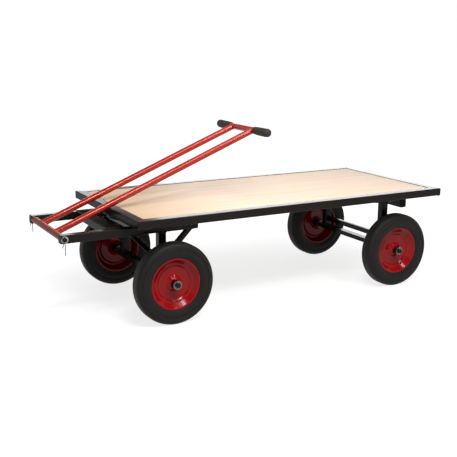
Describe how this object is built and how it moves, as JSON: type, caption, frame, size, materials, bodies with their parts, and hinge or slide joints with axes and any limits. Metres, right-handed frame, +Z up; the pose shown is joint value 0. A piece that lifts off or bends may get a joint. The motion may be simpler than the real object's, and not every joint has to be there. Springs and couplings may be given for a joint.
{
  "type": "platform trolley",
  "caption": "Heavy platform trolley with a plywood deck, turntable-steered front axle, fold-over drawbar handle and large rubber-tyred wheels.",
  "frame": {"origin": "on the floor, below the middle of the trolley's bounding box with the handle folded", "axes": "+X towards the drawbar, +Y to the trolley's left, +Z up"},
  "size_m": [2.112, 0.8476, 0.8878],
  "materials": {
    "black_paint": "glossy black powder coat",
    "red_paint": "glossy red powder coat",
    "plywood": "sanded birch plywood, faint grain",
    "tyre_rubber": "matt dark grey rubber",
    "grip_rubber": "matt dark grey moulded rubber",
    "black_plastic": "satin black plastic",
    "bush_nylon": "natural nylon",
    "zinc_plate": "bright zinc-plated steel",
    "bearing_steel": "oiled sintered steel",
    "ball_steel": "polished bearing steel"
  },
  "bodies": {
    "chassis": {"deck_side_rail_left": "black_paint", "deck_side_rail_right": "black_paint", "deck_end_rail_front": "black_paint", "deck_end_rail_rear": "black_paint", "deck_board": "plywood", "deck_bearers": "black_paint", "board_screws": "zinc_plate", "turntable_upper_ring": "black_paint", "upper_ring_bolts": "zinc_plate", "rear_frame_rails": "black_paint", "rear_leg_left": "black_paint", "rear_leg_right": "black_paint", "rear_tie_bar": "black_paint", "rear_cross_rail": "black_paint", "rear_rail_caps": "black_plastic", "rear_axle": "black_paint", "rear_axle_washers": "zinc_plate", "rear_split_pins": "zinc_plate"},
    "turntable": {"turntable_lower_ring": "black_paint", "turntable_balls": "ball_steel", "lower_ring_bolts": "zinc_plate", "drawbar_arm_left": "black_paint", "drawbar_arm_right": "black_paint", "drawbar_cross_member": "black_paint", "turntable_members": "black_paint", "tail_member": "black_paint", "arm_end_caps": "black_plastic", "front_leg_left": "black_paint", "front_leg_right": "black_paint", "front_braces": "black_paint", "front_axle": "black_paint", "hinge_rod": "black_paint", "rod_washers": "zinc_plate", "spring_clips": "zinc_plate", "front_axle_washers": "zinc_plate", "front_split_pins": "zinc_plate"},
    "handle": {"handle_tube_left": "red_paint", "handle_tube_right": "red_paint", "handle_lower_tube": "red_paint", "handle_upper_tube": "red_paint", "grip_left": "grip_rubber", "grip_right": "grip_rubber", "handle_bushes": "bush_nylon"},
    "wheel_front_left": {"front_left_tyre": "tyre_rubber", "front_left_rim": "red_paint", "front_left_hub": "zinc_plate", "front_left_bearings": "bearing_steel"},
    "wheel_front_right": {"front_right_tyre": "tyre_rubber", "front_right_rim": "red_paint", "front_right_hub": "zinc_plate", "front_right_bearings": "bearing_steel"},
    "wheel_rear_left": {"rear_left_tyre": "tyre_rubber", "rear_left_rim": "red_paint", "rear_left_hub": "zinc_plate", "rear_left_bearings": "bearing_steel"},
    "wheel_rear_right": {"rear_right_tyre": "tyre_rubber", "rear_right_rim": "red_paint", "rear_right_hub": "zinc_plate", "rear_right_bearings": "bearing_steel"}
  },
  "joints": [
    {"name": "steering", "type": "hinge", "parent": "chassis", "child": "turntable", "pos_m": [0.554, 0, 0.4735], "axis": [0, 0, 1], "range_deg": [-10, 10]},
    {"name": "handle_fold", "type": "hinge", "parent": "turntable", "child": "handle", "pos_m": [1.039, 0, 0.44], "axis": [0, 1, 0], "range_deg": [0, 176]},
    {"name": "wheel_front_left_axle", "type": "hinge", "parent": "turntable", "child": "wheel_front_left", "pos_m": [0.554, 0.368, 0.2], "axis": [0, 1, 0], "continuous": true},
    {"name": "wheel_front_right_axle", "type": "hinge", "parent": "turntable", "child": "wheel_front_right", "pos_m": [0.554, -0.368, 0.2], "axis": [0, 1, 0], "continuous": true},
    {"name": "wheel_rear_left_axle", "type": "hinge", "parent": "chassis", "child": "wheel_rear_left", "pos_m": [-0.788, 0.368, 0.2], "axis": [0, 1, 0], "continuous": true},
    {"name": "wheel_rear_right_axle", "type": "hinge", "parent": "chassis", "child": "wheel_rear_right", "pos_m": [-0.788, -0.368, 0.2], "axis": [0, 1, 0], "continuous": true}
  ]
}
